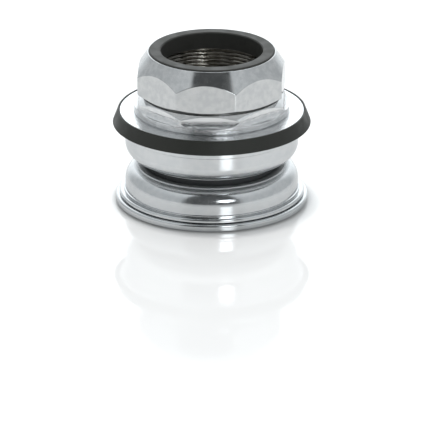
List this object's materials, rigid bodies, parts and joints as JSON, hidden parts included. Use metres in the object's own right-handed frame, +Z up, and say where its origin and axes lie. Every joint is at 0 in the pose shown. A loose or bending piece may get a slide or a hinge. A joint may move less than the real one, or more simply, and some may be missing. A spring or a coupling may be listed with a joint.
{
  "type": "bicycle headset",
  "caption": "Threaded bicycle headset stack: octagonal locknut and adjusting race, dust cover with flared seal, press-in cups, caged ball bearings and a crown race on one axis.",
  "frame": {"origin": "centre of the crown race's underside", "axes": "+Z up the steerer axis, -Y towards the viewer of the picture, +X to the right"},
  "size_m": [0.0496, 0.0496, 0.0396],
  "materials": {
    "chrome": "polished plate",
    "seal_rubber": "matt",
    "stem_seal_plastic": "satin",
    "washer_steel": "zinc plate",
    "retainer_steel": "pressed, oiled",
    "ball_steel": "ground"
  },
  "bodies": {
    "cups": {"upper_cup": "chrome", "lower_cup": "chrome"},
    "upper_race": {"adjusting_race": "chrome", "dust_cover": "chrome", "dust_cover_seal": "seal_rubber"},
    "upper_bearing": {"upper_retainer": "retainer_steel", "upper_ball_01": "ball_steel", "upper_ball_02": "ball_steel", "upper_ball_03": "ball_steel", "upper_ball_04": "ball_steel", "upper_ball_05": "ball_steel", "upper_ball_06": "ball_steel", "upper_ball_07": "ball_steel", "upper_ball_08": "ball_steel", "upper_ball_09": "ball_steel", "upper_ball_10": "ball_steel", "upper_ball_11": "ball_steel", "upper_ball_12": "ball_steel", "upper_ball_13": "ball_steel", "upper_ball_14": "ball_steel", "upper_ball_15": "ball_steel", "upper_ball_16": "ball_steel", "upper_ball_17": "ball_steel", "upper_ball_18": "ball_steel", "upper_ball_19": "ball_steel", "upper_ball_20": "ball_steel"},
    "crown_race": {"crown_race": "chrome"},
    "lower_bearing": {"lower_retainer": "retainer_steel", "lower_ball_01": "ball_steel", "lower_ball_02": "ball_steel", "lower_ball_03": "ball_steel", "lower_ball_04": "ball_steel", "lower_ball_05": "ball_steel", "lower_ball_06": "ball_steel", "lower_ball_07": "ball_steel", "lower_ball_08": "ball_steel", "lower_ball_09": "ball_steel", "lower_ball_10": "ball_steel", "lower_ball_11": "ball_steel", "lower_ball_12": "ball_steel", "lower_ball_13": "ball_steel", "lower_ball_14": "ball_steel", "lower_ball_15": "ball_steel", "lower_ball_16": "ball_steel", "lower_ball_17": "ball_steel", "lower_ball_18": "ball_steel", "lower_ball_19": "ball_steel", "lower_ball_20": "ball_steel"},
    "lock_washer": {"lock_washer": "washer_steel"},
    "locknut": {"locknut": "chrome", "locknut_seal": "stem_seal_plastic"}
  },
  "joints": [
    {"name": "upper_race_turn", "type": "hinge", "parent": "cups", "child": "upper_race", "pos_m": [0, 0, 0.0238], "axis": [0, 0, 1], "continuous": true},
    {"name": "upper_bearing_turn", "type": "hinge", "parent": "cups", "child": "upper_bearing", "pos_m": [0, 0, 0.01596], "axis": [0, 0, 1], "continuous": true},
    {"name": "crown_race_turn", "type": "hinge", "parent": "cups", "child": "crown_race", "pos_m": [0, 0, 0], "axis": [0, 0, 1], "continuous": true},
    {"name": "lower_bearing_turn", "type": "hinge", "parent": "cups", "child": "lower_bearing", "pos_m": [0, 0, 0.00546], "axis": [0, 0, 1], "continuous": true},
    {"name": "lock_washer_rise", "type": "slide", "parent": "upper_race", "child": "lock_washer", "axis": [0, 0, 1], "range_m": [0, 0.00636]},
    {"name": "locknut_screw", "type": "hinge", "parent": "lock_washer", "child": "locknut", "pos_m": [0, 0, 0.0288], "axis": [0, 0, 1], "range_deg": [0, 2340]}
  ],
  "couplings": [
    {"joint": "upper_bearing_turn", "follows": "upper_race_turn", "ratio": 0.4596},
    {"joint": "lower_bearing_turn", "follows": "crown_race_turn", "ratio": 0.4596},
    {"joint": "lock_washer_rise", "follows": "locknut_screw", "m_per_rad": 0.00015548}
  ]
}
